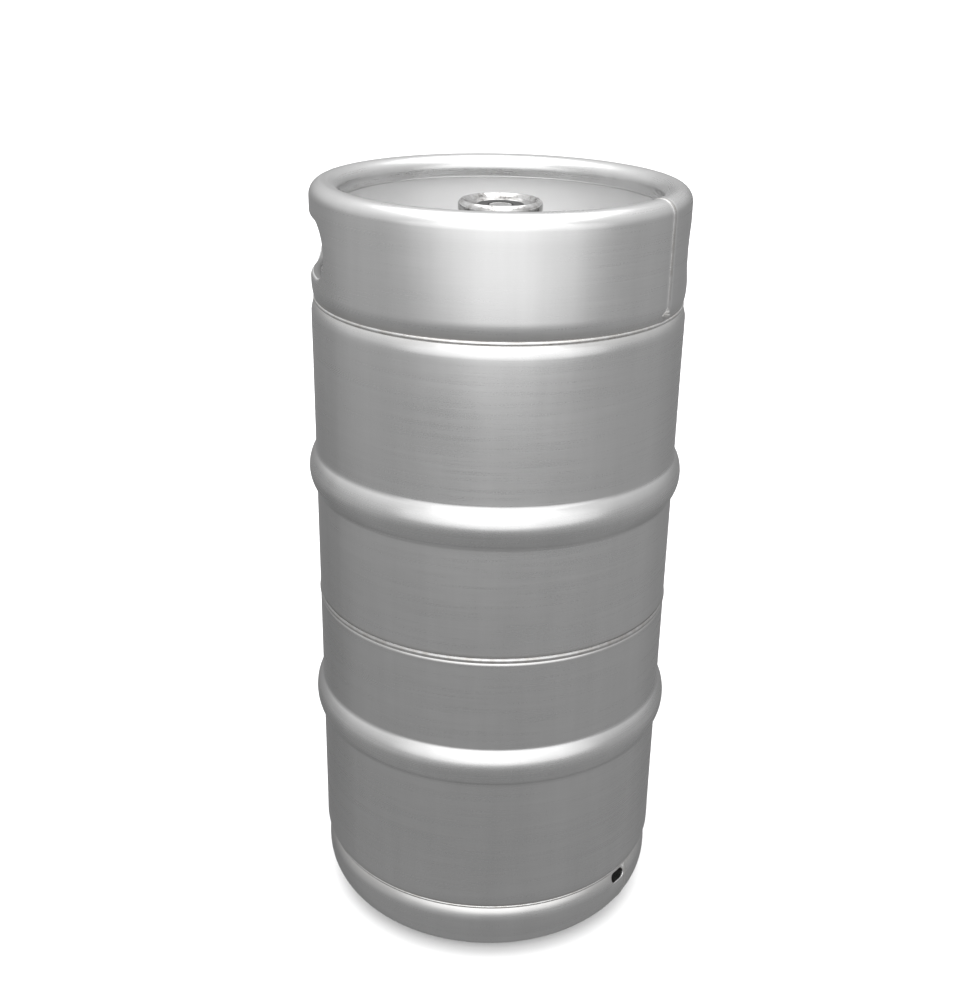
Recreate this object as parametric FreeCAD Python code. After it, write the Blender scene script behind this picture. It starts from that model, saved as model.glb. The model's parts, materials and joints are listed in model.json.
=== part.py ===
"""A 30 litre slim stainless beer keg with a flat-top dispensing spear, one STEP file per physical piece.

Every round piece is a flat outline in the XZ plane, turned about the Z axis. Units are millimetres.
+Z is up, the origin is the centre of the foot's flat contact ring, and the two hand holds lie on the X axis.
"""
import FreeCAD
import Part
import math
import os

from FreeCAD import Vector

# ---------------------------------------------------------------- driving dimensions
keg_height = 592.0
body_radius = 138.0            # straight wall of the pressure vessel
rib_radius = 143.4             # the two rolling ribs are the widest thing on the keg
shell_wall = 1.5
weld_height = 275.0            # the two deep-drawn halves meet here
upper_rib_height = 378.0
lower_rib_height = 184.0
shoulder_radius = 16.0
upper_shoulder_height = 498.0  # the wall turns in towards the top dome here
lower_shoulder_height = 63.6
upper_dome_radius = 280.0
lower_dome_radius = 420.0
root_gap = 1.6                 # what a butt weld fills between two sheet edges

collar_wall = 1.8
collar_radius = 137.4
collar_foot_radius = 135.5
collar_foot_height = 509.3
rim_roll_radius = 10.5         # outside radius of the rolled rim
rim_leg_end = 575.0            # the rolled rim's inner leg stops here
hand_hold_width = 93.0
hand_hold_height = 38.0
hand_hold_centre = 548.0
hand_hold_depth = 7.4          # how far the turned-in lip reaches behind the wall's outside
lip_roll_radius = 5.0

chime_wall = 2.0
chime_radius = 136.6
chime_top_radius = 133.2
chime_top_height = 51.5
chime_top_drop = 12.0          # how far below its top edge the foot is widest
foot_roll_radius = 36.0        # the big curve that leads the foot into the rim of a keg below
foot_ring_width = 4.0          # flat contact ring
foot_curl_radius = 6.0
foot_curl_end = 13.0

neck_radius = 27.8
thread_radius = 25.2
neck_top = 564.0
neck_bottom = 534.0
gasket_thickness = 2.0

head_radius = 30.75            # the flange that a slide-on coupler grips
head_top = 578.0
seat_radius = 17.6             # mouth that the gas seal closes
sleeve_bore = 22.5
sleeve_radius = 24.3
sleeve_bottom = 498.0

tube_radius = 8.0
tube_bore = 7.2
tube_bottom = 35.1
running_gap = 0.08             # a sliding tube in its bush
seal_gap = 0.2                 # between rubber and seat, so that parts never overlap

seam_angle = 52.0              # degrees from -Y towards +X: the collar's lengthwise seam
chime_seam_angle = 51.0
drain_angle = 46.2
drain_width = 17.0
drain_height = 8.0
drain_drop = 5.8               # the drain hole's middle, below the foot's top edge
seam_proud = 0.4
blob_radius = 3.0

AXIS_START = Vector(0, 0, 0)
AXIS = Vector(0, 0, 1)
FULL_TURN = 360.0


# ---------------------------------------------------------------- outlines and turning
def at(radius, height):
    """A point of an outline: a radius and a height."""
    return Vector(radius, 0, height)


def polar(centre, radius, degrees):
    """The point of a circle round centre (radius, height) at an angle from the outward direction."""
    angle = math.radians(degrees)
    return at(centre[0] + radius * math.cos(angle), centre[1] + radius * math.sin(angle))


def polygon(*corners):
    """A flat face with straight sides through (radius, height) corners."""
    points = [at(*c) for c in corners]
    return Part.Face(Part.makePolygon(points + points[:1]))


def rectangle(inner, outer, bottom, top):
    return polygon((inner, bottom), (outer, bottom), (outer, top), (inner, top))


def disc(centre, radius):
    """A round face in the outline's plane."""
    circle = Part.Circle(at(*centre), Vector(0, -1, 0), radius)
    return Part.Face(Part.Wire(circle.toShape()))


def path_edges(path, shift):
    """Edges of a tangent path of lines and arcs, moved to the left of its direction by shift.

    A path step is ("line", (r, z), (r, z)) or ("arc", centre, radius, from_degrees, to_degrees).
    """
    edges = []
    for step in path:
        if step[0] == "line":
            start, end = at(*step[1]), at(*step[2])
            along = (end - start).normalize()
            left = Vector(-along.z, 0, along.x) * shift
            edges.append(Part.LineSegment(start + left, end + left).toShape())
        else:
            centre, radius, first, last = step[1:]
            inward = shift if last > first else -shift
            moved = radius - inward
            points = [polar(centre, moved, a) for a in (first, (first + last) / 2, last)]
            edges.append(Part.Arc(*points).toShape())
    return edges


def strip(path, thickness, proud=0.0):
    """The section of a sheet: its outside follows the path and its thickness lies to the left.

    A bead on the sheet instead stands proud to the right.
    """
    outside = path_edges(path, -proud)
    inside = path_edges(path, thickness)
    starts = [edges[0].Vertexes[0].Point for edges in (outside, inside)]
    ends = [edges[-1].Vertexes[-1].Point for edges in (outside, inside)]
    caps = [Part.LineSegment(*points).toShape() for points in (starts, ends)]
    loop = Part.__sortEdges__(outside + [caps[1]] + inside + [caps[0]])
    return Part.Face(Part.Wire(loop))


def turned(face, degrees=FULL_TURN):
    """A face swept round the Z axis: all the way, or by some degrees centred on +X."""
    if degrees == FULL_TURN:
        return as_solid(face.revolve(AXIS_START, AXIS, FULL_TURN))
    part_turn = face.revolve(AXIS_START, AXIS, degrees)
    part_turn.rotate(AXIS_START, AXIS, -degrees / 2)
    return as_solid(part_turn)


def as_solid(shape):
    """The one solid in a shape, facing outwards."""
    solid = shape.Solids[0] if shape.Solids else Part.Solid(shape.Shells[0])
    if solid.Volume < 0:
        solid.reverse()
    return solid


def biggest(shape):
    """The solid or face that is left when slivers are dropped."""
    pieces = shape.Solids or shape.Faces
    return max(pieces, key=lambda piece: piece.Volume if shape.Solids else piece.Area)


def outermost(shape):
    """The face that lies furthest from the axis."""
    return max(shape.Faces, key=lambda face: face.BoundBox.XMax)


def facing(shape, degrees_from_front):
    """A shape made on the +X side, turned to an angle counted from -Y towards +X."""
    moved = shape.copy()
    moved.rotate(AXIS_START, AXIS, degrees_from_front - 90.0)
    return moved


def stadium_bar(width, height, centre_height, start, end):
    """A bar along +X whose section is a slot with round ends, lying flat."""
    half, end_radius = width / 2 - height / 2, height / 2
    low, high = centre_height - end_radius, centre_height + end_radius
    corners = [(-half, low), (half, low), (half, high), (-half, high)]
    points = [Vector(start, y, z) for y, z in corners]
    right = Vector(start, half + end_radius, centre_height)
    left = Vector(start, -half - end_radius, centre_height)
    edges = [
        Part.LineSegment(points[0], points[1]).toShape(),
        Part.Arc(points[1], right, points[2]).toShape(),
        Part.LineSegment(points[2], points[3]).toShape(),
        Part.Arc(points[3], left, points[0]).toShape(),
    ]
    return Part.Face(Part.Wire(edges)).extrude(Vector(end - start, 0, 0))


# ---------------------------------------------------------------- pressure vessel
def rib_steps(height):
    """The path round one rolling rib, going up: two small hollow curves and a broad round between them."""
    crown, hollow = 24.0, 6.0
    proud = rib_radius - body_radius
    lean = math.degrees(math.acos(1 - proud / (crown + hollow)))
    reach = (crown + hollow) * math.sin(math.radians(lean))
    steps = [
        ("arc", (body_radius + hollow, height - reach), hollow, 180.0, 180.0 - lean),
        ("arc", (rib_radius - crown, height), crown, -lean, lean),
        ("arc", (body_radius + hollow, height + reach), hollow, 180.0 + lean, 180.0),
    ]
    return steps, reach


def dome_centre(dome_radius):
    """How far behind the shoulder's height a dome's centre lies, so that dome and shoulder are tangent."""
    across = body_radius - shoulder_radius
    apart = dome_radius - shoulder_radius
    return math.sqrt(apart ** 2 - across ** 2), math.degrees(math.acos(across / apart))


def upper_shell_path():
    rib, reach = rib_steps(upper_rib_height)
    behind, lean = dome_centre(upper_dome_radius)
    return (
        [("line", (body_radius, weld_height + root_gap / 2), (body_radius, upper_rib_height - reach))]
        + rib
        + [
            ("line", (body_radius, upper_rib_height + reach), (body_radius, upper_shoulder_height)),
            ("arc", (body_radius - shoulder_radius, upper_shoulder_height), shoulder_radius, 0.0, lean),
            ("arc", (0.0, upper_shoulder_height - behind), upper_dome_radius, lean, 88.0),
        ]
    )


def lower_shell_path():
    rib, reach = rib_steps(lower_rib_height)
    behind, lean = dome_centre(lower_dome_radius)
    return (
        [
            ("arc", (0.0, lower_shoulder_height + behind), lower_dome_radius, -sump_edge_angle(), -lean),
            ("arc", (body_radius - shoulder_radius, lower_shoulder_height), shoulder_radius, -lean, 0.0),
            ("line", (body_radius, lower_shoulder_height), (body_radius, lower_rib_height - reach)),
        ]
        + rib
        + [("line", (body_radius, lower_rib_height + reach), (body_radius, weld_height - root_gap / 2))]
    )


sump_radius = 26.0
sump_depth = 3.5


def sump_edge_angle():
    """Where the lower dome gives way to the sump, as an angle of the dome's circle."""
    return math.degrees(math.acos(sump_radius / lower_dome_radius))


def upper_shell_section():
    """The upper half's section, with the neck's hole."""
    sheet = strip(upper_shell_path(), shell_wall)
    return biggest(sheet.cut(rectangle(0, neck_radius, neck_bottom - 20, head_top)))


def lower_shell_section():
    """The lower half's section, with the small sump that the spear's tube reaches into."""
    behind, _ = dome_centre(lower_dome_radius)
    dome_height = lower_shoulder_height + behind
    rim = polar((0.0, dome_height), lower_dome_radius, -sump_edge_angle())
    rim_inside = polar((0.0, dome_height), lower_dome_radius - shell_wall, -sump_edge_angle())
    floor = rim.z - sump_depth
    slope = sump_radius - 5.0
    sump = polygon(
        (0, floor), (slope, floor), (rim.x, rim.z),
        (rim_inside.x, rim_inside.z), (slope - 0.6, floor + shell_wall), (0, floor + shell_wall),
    )
    sheet = strip(lower_shell_path(), shell_wall)
    return biggest(sheet.fuse(sump).removeSplitter())


def girth_weld_section():
    """The butt weld between the halves: its root fills the gap, and its crown stands proud outside."""
    crown, half = 0.55, 2.0
    inner = body_radius - shell_wall
    low, high = weld_height - root_gap / 2, weld_height + root_gap / 2
    ends = [
        at(body_radius, weld_height - half),
        at(body_radius + crown, weld_height),
        at(body_radius, weld_height + half),
    ]
    edges = Part.makePolygon(
        [ends[2], at(body_radius, high), at(inner, high), at(inner, low), at(body_radius, low), ends[0]]
    ).Edges
    return Part.Face(Part.Wire(edges + [Part.Arc(*ends).toShape()]))


# ---------------------------------------------------------------- collar with rolled rim and hand holds
def collar_path():
    """Outside of the collar, going up: it leans out from its foot, runs straight, and rolls over inwards."""
    foot_rise = 13.0
    lean_in = collar_radius - collar_foot_radius
    sweep = (lean_in ** 2 + foot_rise ** 2) / (2 * lean_in)
    foot_angle = -math.degrees(math.asin(foot_rise / sweep))
    waist = collar_foot_height + foot_rise
    roll_height = keg_height - rim_roll_radius
    leg_radius = collar_radius - 2 * rim_roll_radius
    return [
        ("arc", (collar_radius - sweep, waist), sweep, foot_angle, 0.0),
        ("line", (collar_radius, waist), (collar_radius, roll_height)),
        ("arc", (collar_radius - rim_roll_radius, roll_height), rim_roll_radius, 0.0, 180.0),
        ("line", (leg_radius, roll_height), (leg_radius, rim_leg_end)),
    ]


def hand_hold_cutters():
    """For the +X hand hold: the lip's block, and the clear opening through it."""
    inside = collar_radius - hand_hold_depth
    band = turned(rectangle(inside, collar_radius, hand_hold_centre - hand_hold_height, rim_leg_end - 1.0))
    block = stadium_bar(
        hand_hold_width + 2 * collar_wall, hand_hold_height + 2 * collar_wall,
        hand_hold_centre, inside - 40, collar_radius + 20,
    )
    opening = stadium_bar(
        hand_hold_width, hand_hold_height, hand_hold_centre, inside - 40, collar_radius + 20
    )
    return block.common(band), opening


def lip_edges(shape, radius, width, height):
    """Edges where a hand hold's tunnel of that size meets the collar's round face of that radius."""
    found = []
    for edge in shape.Edges:
        samples = edge.discretize(7)
        on_face = all(abs(math.hypot(p.x, p.y) - radius) < 0.02 for p in samples)
        half = width / 2 - height / 2
        on_tunnel = all(
            abs(math.hypot(max(abs(p.y) - half, 0), p.z - hand_hold_centre) - height / 2) < 0.02
            for p in samples
        )
        if on_face and on_tunnel:
            found.append(edge)
    return found


def make_collar():
    collar = turned(strip(collar_path(), collar_wall))
    for side in (0.0, 180.0):
        block, opening = hand_hold_cutters()
        block.rotate(AXIS_START, AXIS, side)
        opening.rotate(AXIS_START, AXIS, side)
        collar = collar.fuse(block).cut(opening)
    collar = biggest(collar.removeSplitter())
    outer = lip_edges(collar, collar_radius, hand_hold_width, hand_hold_height)
    collar = collar.makeFillet(lip_roll_radius, outer)
    inner = lip_edges(
        collar, collar_radius - collar_wall,
        hand_hold_width + 2 * collar_wall, hand_hold_height + 2 * collar_wall,
    )
    collar = collar.makeFillet(lip_roll_radius - collar_wall, inner)
    return biggest(collar)


# ---------------------------------------------------------------- foot chime
def chime_path():
    """Outside of the foot, going down: bulges a little, sweeps in to the contact ring and curls up inside."""
    bulge = chime_radius - chime_top_radius
    sweep = (bulge ** 2 + chime_top_drop ** 2) / (2 * bulge)
    top_angle = math.degrees(math.asin(chime_top_drop / sweep))
    belly = chime_top_height - chime_top_drop
    ring_outer = chime_radius - foot_roll_radius
    ring_inner = ring_outer - foot_ring_width
    curl = (ring_inner, foot_curl_radius)
    leg = ring_inner - foot_curl_radius
    return [
        ("arc", (chime_radius - sweep, belly), sweep, top_angle, 0.0),
        ("line", (chime_radius, belly), (chime_radius, foot_roll_radius)),
        ("arc", (ring_outer, foot_roll_radius), foot_roll_radius, 0.0, -90.0),
        ("line", (ring_outer, 0.0), (ring_inner, 0.0)),
        ("arc", curl, foot_curl_radius, -90.0, -180.0),
        ("line", (leg, foot_curl_radius), (leg, foot_curl_end)),
    ]


def make_chime():
    """The foot, with a drain hole beside its seam and another across from it."""
    chime = turned(strip(chime_path(), -chime_wall))
    for angle in (drain_angle, drain_angle + 180.0):
        hole = stadium_bar(drain_width, drain_height, chime_top_height - drain_drop, 110, 150)
        chime = chime.cut(facing(hole, angle))
    return biggest(chime)


# ---------------------------------------------------------------- welds on collar, foot and neck
def fillet_weld_section(centre, radius, *neighbours):
    """What is left outside of a round bead once the sheets that it joins are taken away."""
    bead = disc(centre, radius)
    for section in neighbours:
        bead = bead.cut(section)
    return outermost(bead)


def seam_weld(section, angle, width, *neighbours):
    """A low bead along a sheet's lengthwise seam: a thin skin over the sheet, a few millimetres wide."""
    degrees = math.degrees(width / collar_radius)
    bead = turned(section, degrees)
    bead = facing(bead, angle)
    for neighbour in neighbours:
        bead = bead.cut(neighbour)
    return biggest(bead)


def seam_end_blob(angle, *neighbours):
    """The lump where the seam's weld ends, just above the collar's foot."""
    lump = Part.makeSphere(blob_radius, Vector(collar_radius - 1.8, 0, collar_foot_height + 4.5))
    lump = facing(lump, angle)
    for neighbour in neighbours:
        lump = lump.cut(neighbour)
    return max(lump.Solids, key=lambda solid: math.hypot(solid.CenterOfMass.x, solid.CenterOfMass.y))


def chime_seam_path():
    """The part of the foot's outside that its seam weld covers, well clear of the floor."""
    top, wall, roll = chime_path()[:3]
    return [top, wall, roll[:3] + (0.0, -50.0)]


# ---------------------------------------------------------------- neck and spear, fixed pieces
def make_neck():
    return turned(rectangle(thread_radius + running_gap, neck_radius, neck_bottom, neck_top))


def spear_body_section():
    """Head with its gripping flange and dished top, threaded barrel, and thin sleeve below."""
    seat_low = head_top - 9.4
    return polygon(
        (neck_radius, neck_top + gasket_thickness), (head_radius - 0.5, head_top - 7.6),
        (head_radius, head_top - 7.0), (head_radius, head_top - 3.0), (head_radius - 0.8, head_top - 1.2),
        (head_radius - 2.4, head_top), (head_radius - 3.6, head_top), (head_radius - 4.6, head_top - 1.2),
        (head_radius - 5.6, head_top - 3.0), (seat_radius + 1.6, head_top - 3.6),
        (seat_radius, head_top - 5.0), (seat_radius, head_top - 6.4),
        (seat_radius + 2.0, seat_low), (sleeve_bore, seat_low - 2.0),
        (sleeve_bore, sleeve_bottom), (sleeve_radius, sleeve_bottom), (sleeve_radius, neck_bottom + 3),
        (thread_radius, neck_bottom + 4.5), (thread_radius, neck_top + gasket_thickness),
    )


lock_groove_height = 502.0
lock_ring_thickness = 1.4


def make_spear_body():
    """The spear's housing, with gas windows through the sleeve and the lock ring's groove."""
    section = spear_body_section()
    groove = rectangle(
        sleeve_bore - 1, sleeve_bore + 0.9, lock_groove_height, lock_groove_height + lock_ring_thickness + 0.2
    )
    body = turned(biggest(section.cut(groove)))
    for turn in range(0, 360, 60):
        window = stadium_bar(18.0, 9.0, 0.0, 15, 30)
        window.rotate(AXIS_START, Vector(1, 0, 0), 90)
        window.translate(Vector(0, 0, 523.5))
        window.rotate(AXIS_START, AXIS, turn)
        body = body.cut(window)
    return biggest(body)


def make_lock_ring():
    """A spring clip with a gap, sitting in the sleeve's groove."""
    ring = turned(
        rectangle(
            sleeve_bore - 1.6, sleeve_bore + 0.7,
            lock_groove_height + 0.1, lock_groove_height + 0.1 + lock_ring_thickness,
        )
    )
    gap = Part.makeBox(20, 11, 10, Vector(12, -5.5, lock_groove_height - 4))
    return biggest(ring.cut(gap))


retainer_low = lock_groove_height + 0.1 + lock_ring_thickness
retainer_sheet = 1.4
bush_radius = 11.0
retainer_collar = 12.2


def make_spring_retainer():
    """A pressed cup: a plate on the lock ring with an upright collar that holds the bush, and drain holes."""
    cup = polygon(
        (bush_radius, retainer_low), (sleeve_bore - 0.15, retainer_low),
        (sleeve_bore - 0.15, retainer_low + retainer_sheet), (retainer_collar, retainer_low + retainer_sheet),
        (retainer_collar, retainer_low + 9.0), (bush_radius, retainer_low + 9.0),
    )
    plate = turned(cup)
    for turn in range(30, 390, 60):
        hole = Part.makeCylinder(2.0, 10.0, Vector(19.4, 0, retainer_low - 4))
        hole.rotate(AXIS_START, AXIS, turn)
        plate = plate.cut(hole)
    return biggest(plate)


def make_guide_bush():
    """A flanged plastic bush that the tube slides through."""
    bore = tube_radius + running_gap
    return turned(
        polygon(
            (bore, retainer_low - 1.5), (bush_radius + 1.5, retainer_low - 1.5),
            (bush_radius + 1.5, retainer_low), (bush_radius, retainer_low),
            (bush_radius, retainer_low + 9.0), (bore, retainer_low + 9.0),
        )
    )


# ---------------------------------------------------------------- spear, pieces that ride on the tube
cup_bottom = 546.0
cup_flange = 563.5             # underside of the seal's seat on the valve cup
cup_bore = 11.2
cup_sheet = 1.2
seal_top = 574.6


def make_valve_cup():
    """The drawn cup on the tube's end: it holds the gas seal above and takes the gas spring below."""
    outer = cup_bore + cup_sheet
    return turned(
        polygon(
            (tube_radius, cup_bottom), (outer, cup_bottom), (outer, cup_flange - cup_sheet),
            (17.0, cup_flange - cup_sheet), (17.0, cup_flange), (cup_bore, cup_flange),
            (cup_bore, cup_bottom + cup_sheet), (tube_radius, cup_bottom + cup_sheet),
        )
    )


def make_gas_seal():
    """The rubber ring that closes the head's mouth from below and gives the beer valve its seat."""
    lip = seat_radius - seal_gap - 0.1
    return turned(
        polygon(
            (cup_bore, cup_flange), (17.6, cup_flange), (19.2, cup_flange + 1.2), (19.2, cup_flange + 3.6),
            (lip, head_top - 6.9), (lip, seal_top - 0.5), (lip - 0.5, seal_top), (9.6, seal_top),
            (9.0, seal_top - 0.6), (9.0, 570.8), (10.9, 568.6), (cup_bore, 568.4),
        )
    )


def make_down_tube():
    """The long tube, with four notches in its lower end to let beer in when it stands on the sump."""
    tube = turned(rectangle(tube_bore, tube_radius, tube_bottom, cup_bottom + 2.4))
    for turn in (0, 90):
        notch = Part.makeBox(30, 4.0, 5.0, Vector(-15, -2.0, tube_bottom - 0.5))
        notch.rotate(AXIS_START, AXIS, turn)
        tube = tube.cut(notch)
    return biggest(tube)


def make_spring_star():
    """The plate in the cup that the beer spring stands on, with flow holes round a central guide."""
    low = cup_bottom + 2.4
    plate = turned(rectangle(3.4, cup_bore, low, low + 1.2))
    for turn in range(0, 360, 60):
        hole = Part.makeCylinder(1.2, 5.0, Vector(5.2, 0, low - 2))
        hole.rotate(AXIS_START, AXIS, turn)
        plate = plate.cut(hole)
    return biggest(plate)


def coil(mean_radius, wire, low, high, turns):
    """A compression spring between two heights: half turns of round wire, tilted in turn to either side.

    Each half turn starts and ends level and square to the XZ plane, so the next one carries on smoothly.
    """
    rise = (high - low - wire) / turns / 2
    section = disc((mean_radius, low + wire / 2), wire / 2)
    halves = []
    for number in range(2 * turns):
        side = 1 if number % 2 == 0 else -1
        start = Vector(side * mean_radius, 0, low + wire / 2 + number * rise)
        centre = Vector(0, 0, start.z + rise / 2)
        face = section.copy()
        face.translate(start - Vector(mean_radius, 0, low + wire / 2))
        halves.append(as_solid(face.revolve(centre, Vector(side * rise / 2, 0, mean_radius), 180)))
    return biggest(halves[0].multiFuse(halves[1:]))


# ---------------------------------------------------------------- beer valve
stem_radius = 3.0
beer_washer_low = 565.4
beer_washer_high = 566.6


def make_beer_button():
    """The steel centre that a coupler's probe presses: a domed head on a guide stem."""
    return turned(
        polygon(
            (0, 550.0), (stem_radius - 0.5, 550.0), (stem_radius, 550.6), (stem_radius, 570.2), (8.5, 570.9),
            (8.7, 571.4), (8.7, 573.6), (7.9, 574.4), (5.0, 574.9), (0, 575.1),
        )
    )


def make_beer_seal():
    """The rubber cone under the button, which closes the tube against the gas seal."""
    return turned(
        polygon(
            (stem_radius, beer_washer_high), (10.6, beer_washer_high), (10.6, 568.1), (8.6, 570.5),
            (8.5, 570.9), (stem_radius, 570.2),
        )
    )


def make_beer_washer():
    return turned(rectangle(stem_radius, 10.6, beer_washer_low, beer_washer_high))


# ---------------------------------------------------------------- everything, by name
def build():
    upper, lower = upper_shell_section(), lower_shell_section()
    collar_sheet = strip(collar_path(), collar_wall)
    chime_sheet = strip(chime_path(), -chime_wall)
    neck_block = rectangle(0, neck_radius, neck_bottom, neck_top)
    dome_height = upper_shoulder_height - dome_centre(upper_dome_radius)[0]
    neck_joint = dome_height + math.sqrt(upper_dome_radius ** 2 - neck_radius ** 2)
    collar_weld = turned(
        fillet_weld_section((collar_foot_radius - 0.5, collar_foot_height - 0.7), 1.4, upper, collar_sheet)
    )
    chime_weld = turned(
        fillet_weld_section((chime_top_radius - 0.2, chime_top_height + 0.6), 1.4, lower, chime_sheet)
    )
    collar = make_collar()
    collar_skin = strip(collar_path(), 0.0, seam_proud)
    collar_seam = seam_weld(collar_skin, seam_angle, 3.0, collar_weld)
    chime_skin = strip(chime_seam_path(), seam_proud)
    parts = {
        "upper_shell": turned(upper),
        "lower_shell": turned(lower),
        "girth_weld": turned(girth_weld_section()),
        "top_collar": collar,
        "collar_weld": collar_weld,
        "collar_seam_weld": collar_seam.fuse(seam_end_blob(seam_angle, collar)).Solids[0],
        "bottom_chime": make_chime(),
        "chime_weld": chime_weld,
        "chime_seam_weld": seam_weld(chime_skin, chime_seam_angle, 3.0, chime_weld),
        "neck_socket": make_neck(),
        "neck_weld": turned(fillet_weld_section((neck_radius, neck_joint), 2.4, upper, neck_block)),
        "neck_gasket": turned(
            rectangle(thread_radius, neck_radius - 0.3, neck_top, neck_top + gasket_thickness)
        ),
        "spear_body": make_spear_body(),
        "lock_ring": make_lock_ring(),
        "spring_retainer": make_spring_retainer(),
        "guide_bush": make_guide_bush(),
        "gas_spring": coil(14.9, 2.0, retainer_low + retainer_sheet, cup_flange - cup_sheet, 6),
        "down_tube": make_down_tube(),
        "valve_cup": make_valve_cup(),
        "gas_seal": make_gas_seal(),
        "spring_star": make_spring_star(),
        "beer_spring": coil(7.4, 1.2, cup_bottom + 3.6, beer_washer_low, 5),
        "beer_button": make_beer_button(),
        "beer_seal": make_beer_seal(),
        "beer_washer": make_beer_washer(),
    }
    return parts


def main():
    os.makedirs("parts", exist_ok=True)
    for name, shape in build().items():
        shape.exportStep(os.path.join("parts", name + ".step"))
        box = shape.optimalBoundingBox(False, False)
        print(
            f"{name:18s} {shape.ShapeType:6s} valid {shape.isValid()} closed {shape.isClosed()} "
            f"volume {shape.Volume:10.1f}  z {box.ZMin:7.2f} to {box.ZMax:7.2f}  r {box.XMax:6.2f}"
        )


main()
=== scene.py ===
# %% [markdown]
# # A slim stainless beer keg
# The imported CAD model is loaded first and stays fixed: it gives the true place and size of every piece.
# Steel sheet pieces are then worked out again as smooth surfaces, because the CAD file's loose triangles
# would show as facets in a satin reflection.

# %% Load the frame
import bmesh
import bpy
import json
import math
import numpy as np
from mathutils import Matrix, Vector

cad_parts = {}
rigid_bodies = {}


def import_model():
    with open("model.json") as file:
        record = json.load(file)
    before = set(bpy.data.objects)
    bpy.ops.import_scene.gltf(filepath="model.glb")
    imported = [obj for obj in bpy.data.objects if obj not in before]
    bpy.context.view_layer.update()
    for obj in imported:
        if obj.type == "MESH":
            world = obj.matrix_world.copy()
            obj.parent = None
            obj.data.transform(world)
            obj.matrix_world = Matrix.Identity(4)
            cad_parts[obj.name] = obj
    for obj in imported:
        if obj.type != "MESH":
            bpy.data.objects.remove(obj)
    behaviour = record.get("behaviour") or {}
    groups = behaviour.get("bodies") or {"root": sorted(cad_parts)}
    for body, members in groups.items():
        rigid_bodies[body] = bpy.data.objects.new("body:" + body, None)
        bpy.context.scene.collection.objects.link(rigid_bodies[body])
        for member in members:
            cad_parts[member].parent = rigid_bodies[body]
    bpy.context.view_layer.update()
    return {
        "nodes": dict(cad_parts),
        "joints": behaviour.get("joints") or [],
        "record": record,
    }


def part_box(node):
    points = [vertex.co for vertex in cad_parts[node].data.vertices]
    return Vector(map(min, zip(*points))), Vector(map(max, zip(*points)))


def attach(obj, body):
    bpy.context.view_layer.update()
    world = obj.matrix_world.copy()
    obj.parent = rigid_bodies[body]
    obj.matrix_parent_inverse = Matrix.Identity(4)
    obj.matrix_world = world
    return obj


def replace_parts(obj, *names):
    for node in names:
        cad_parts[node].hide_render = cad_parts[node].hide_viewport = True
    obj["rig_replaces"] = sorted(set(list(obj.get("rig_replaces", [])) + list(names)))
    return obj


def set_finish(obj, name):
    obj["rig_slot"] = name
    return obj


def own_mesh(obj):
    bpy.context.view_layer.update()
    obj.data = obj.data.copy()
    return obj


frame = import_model()
scene = bpy.context.scene

# %% [markdown]
# ## Camera
# A keg stands a metre away and is seen from a little above its rim, so the round top opens up as an ellipse.
# The camera is set first, because every later choice is judged through it. It could be aimed with a
# tracking constraint, but a matrix of its three directions is plainer and also takes a slight roll.

# %% Camera
CAMERA_TURN = math.radians(-7.0)
CAMERA_AIM = math.radians(-0.34)
CAMERA_PITCH = math.radians(24.13)
CAMERA_ROLL = math.radians(1.12)
CAMERA_DISTANCE = 1.001
CAMERA_HEIGHT = 0.751
CAMERA_LENS = 49.4


def camera_matrix():
    """The camera's place and directions: away from the axis, turned, pitched down and rolled."""
    out = Vector((math.sin(CAMERA_TURN), -math.cos(CAMERA_TURN), 0.0))
    place = out * CAMERA_DISTANCE + Vector((0, 0, CAMERA_HEIGHT))
    facing = CAMERA_TURN - CAMERA_AIM
    level = Vector((-math.sin(facing), math.cos(facing), 0.0))
    ahead = level * math.cos(CAMERA_PITCH) - Vector((0, 0, 1)) * math.sin(CAMERA_PITCH)
    right = ahead.cross(Vector((0, 0, 1))).normalized()
    up = right.cross(ahead)
    turned_right = right * math.cos(CAMERA_ROLL) + up * math.sin(CAMERA_ROLL)
    turned_up = up * math.cos(CAMERA_ROLL) - right * math.sin(CAMERA_ROLL)
    return Matrix.Translation(place) @ Matrix((turned_right, turned_up, -ahead)).transposed().to_4x4()


camera = bpy.data.objects.new("camera", bpy.data.cameras.new("camera"))
camera.data.lens = CAMERA_LENS
camera.data.sensor_width = 36.0
camera.data.shift_y = 0.05
camera.data.clip_start = 0.02
camera.matrix_world = camera_matrix()
scene.collection.objects.link(camera)
scene.camera = camera
print("camera at", [round(v, 3) for v in camera.location])

# %% [markdown]
# ## Outlines
# Every sheet of a keg is round, so each is one closed outline of radius and height, carried round the axis.
# Arcs and straight runs are sampled as whole arrays. Millimetres are used for outlines, as on a drawing,
# and turned to metres when the mesh is made.

# %% Outline helpers
MM = 0.001


def arc(centre, radius, start, end, count):
    """Points (radius, height) of an arc: the centre plus radius times cosine and sine of each angle."""
    angles = np.radians(np.linspace(start, end, count))
    return np.stack([centre[0] + radius * np.cos(angles), centre[1] + radius * np.sin(angles)], 1)


def run(start, end, count):
    """Evenly spaced points of a straight run, both ends included."""
    share = np.linspace(0.0, 1.0, count)[:, None]
    return np.asarray(start, float) * (1 - share) + np.asarray(end, float) * share


def joined(*pieces):
    """Pieces end to end, with points that repeat dropped."""
    points = np.concatenate(pieces)
    step = np.linalg.norm(np.diff(points, axis=0), axis=1)
    return points[np.concatenate([[True], step > 1e-4])]


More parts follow.
